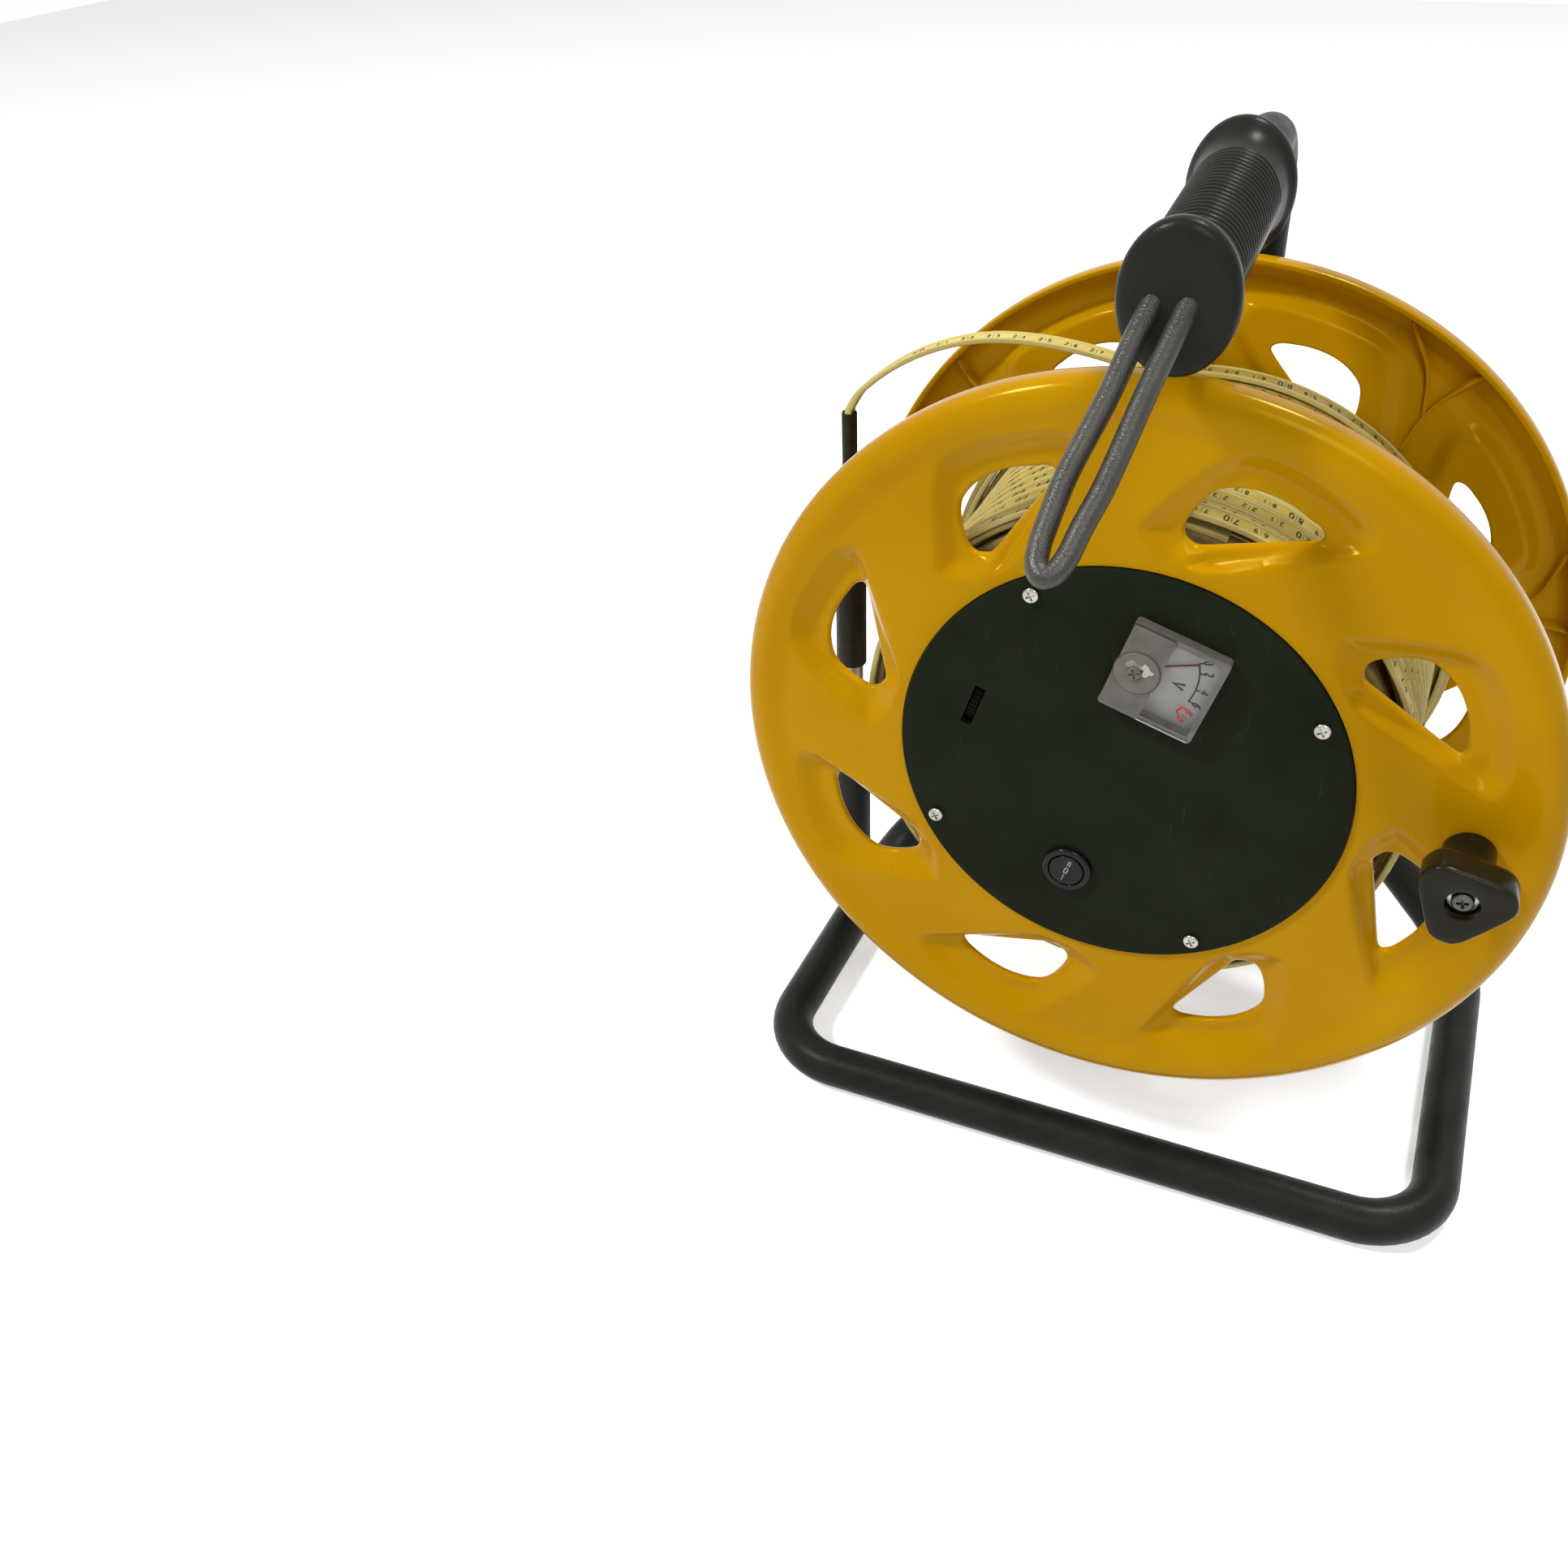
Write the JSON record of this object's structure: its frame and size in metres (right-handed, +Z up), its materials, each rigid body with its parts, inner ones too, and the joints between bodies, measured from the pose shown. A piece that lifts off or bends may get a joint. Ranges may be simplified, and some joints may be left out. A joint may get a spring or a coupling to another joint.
{
  "type": "water level meter",
  "caption": "Hand-cranked water level meter: flat measuring tape on a yellow plastic reel with a dial panel, on a black bent-tube stand with a steel probe",
  "frame": {"origin": "on the floor, in the middle of the footprint of the stand and everything above it; the free tape and the probe on it aren't counted", "axes": "+Z up; +Y from the instrument panel towards the upright of the stand, along the reel's axle; +X to the right, towards the crank, seen from the panel"},
  "size_m": [0.294, 0.2654, 0.3917],
  "materials": {
    "yellow_plastic": "glossy moulded ABS, warm yellow",
    "black_paint": "satin black powder coat on steel tube",
    "black_matte": "fine-grained matte plastic",
    "black_gloss": "polished black plastic",
    "black_rubber": "dull moulded rubber",
    "steel": "plain or plated steel",
    "brass": "sintered bearing metal",
    "tape_plastic": "pale yellow flexible tape, clear edges",
    "core_plastic": "moulded plastic drum",
    "white_card": "printed white scale",
    "red_paint": "red lacquer",
    "clear": "clear moulded plastic window",
    "board": "green circuit board"
  },
  "bodies": {
    "stand": {"frame_tube": "black_paint", "handle_grip": "black_rubber", "wire_loop": "black_paint", "axle": "steel", "axle_washer": "steel", "axle_nut": "steel", "probe_holder": "black_paint", "probe_body": "steel", "probe_sleeve": "black_rubber", "cable_sleeve": "black_rubber", "free_tape": "tape_plastic"},
    "reel": {"front_flange": "yellow_plastic", "rear_flange": "yellow_plastic", "reel_hub": "black_matte", "bush_front": "brass", "bush_rear": "brass", "drum_core": "core_plastic", "inner_tape": "tape_plastic", "tape_winding": "tape_plastic", "rear_cover": "black_gloss", "instrument_panel": "black_matte", "panel_screw_1": "steel", "panel_screw_2": "steel", "panel_screw_3": "steel", "panel_screw_4": "steel", "meter_cover": "clear", "meter_case": "black_matte", "meter_dial": "white_card", "switch_body": "black_gloss", "circuit_board": "board", "battery": "black_matte", "battery_tray": "black_matte", "buzzer": "black_matte", "crank_outer_washer": "steel", "crank_bolt": "steel", "crank_inner_washer": "steel", "crank_nut": "steel"},
    "crank": {"crank_knob": "black_gloss"},
    "rocker": {"switch_rocker": "black_gloss"},
    "pointer": {"meter_pointer": "red_paint"},
    "zero_screw": {"meter_zero_screw": "black_matte"},
    "wheel": {"sensitivity_wheel": "black_rubber"}
  },
  "joints": [
    {"name": "reel_spin", "type": "hinge", "parent": "stand", "child": "reel", "pos_m": [0, 0.02475, 0.1886], "axis": [0, 1, 0], "continuous": true},
    {"name": "crank_spin", "type": "hinge", "parent": "reel", "child": "crank", "pos_m": [0.11697, -0.06, 0.18595], "axis": [0, 1, 0], "continuous": true},
    {"name": "rocker_tilt", "type": "hinge", "parent": "reel", "child": "rocker", "pos_m": [-0.0139, -0.04885, 0.14333], "axis": [0.9521, 0, -0.3057], "range_deg": [-10, 10]},
    {"name": "pointer_swing", "type": "hinge", "parent": "reel", "child": "pointer", "pos_m": [0.00405, -0.0493, 0.23494], "axis": [0, 1, 0], "range_deg": [0, 60], "stiffness_Nm_per_rad": 0.0001},
    {"name": "zero_turn", "type": "hinge", "parent": "reel", "child": "zero_screw", "pos_m": [0.00405, -0.054, 0.23494], "axis": [0, 1, 0], "range_deg": [-30, 30]},
    {"name": "wheel_turn", "type": "hinge", "parent": "reel", "child": "wheel", "pos_m": [-0.05297, -0.03665, 0.2055], "axis": [0.9521, 0, -0.3057], "range_deg": [-135, 135]}
  ]
}
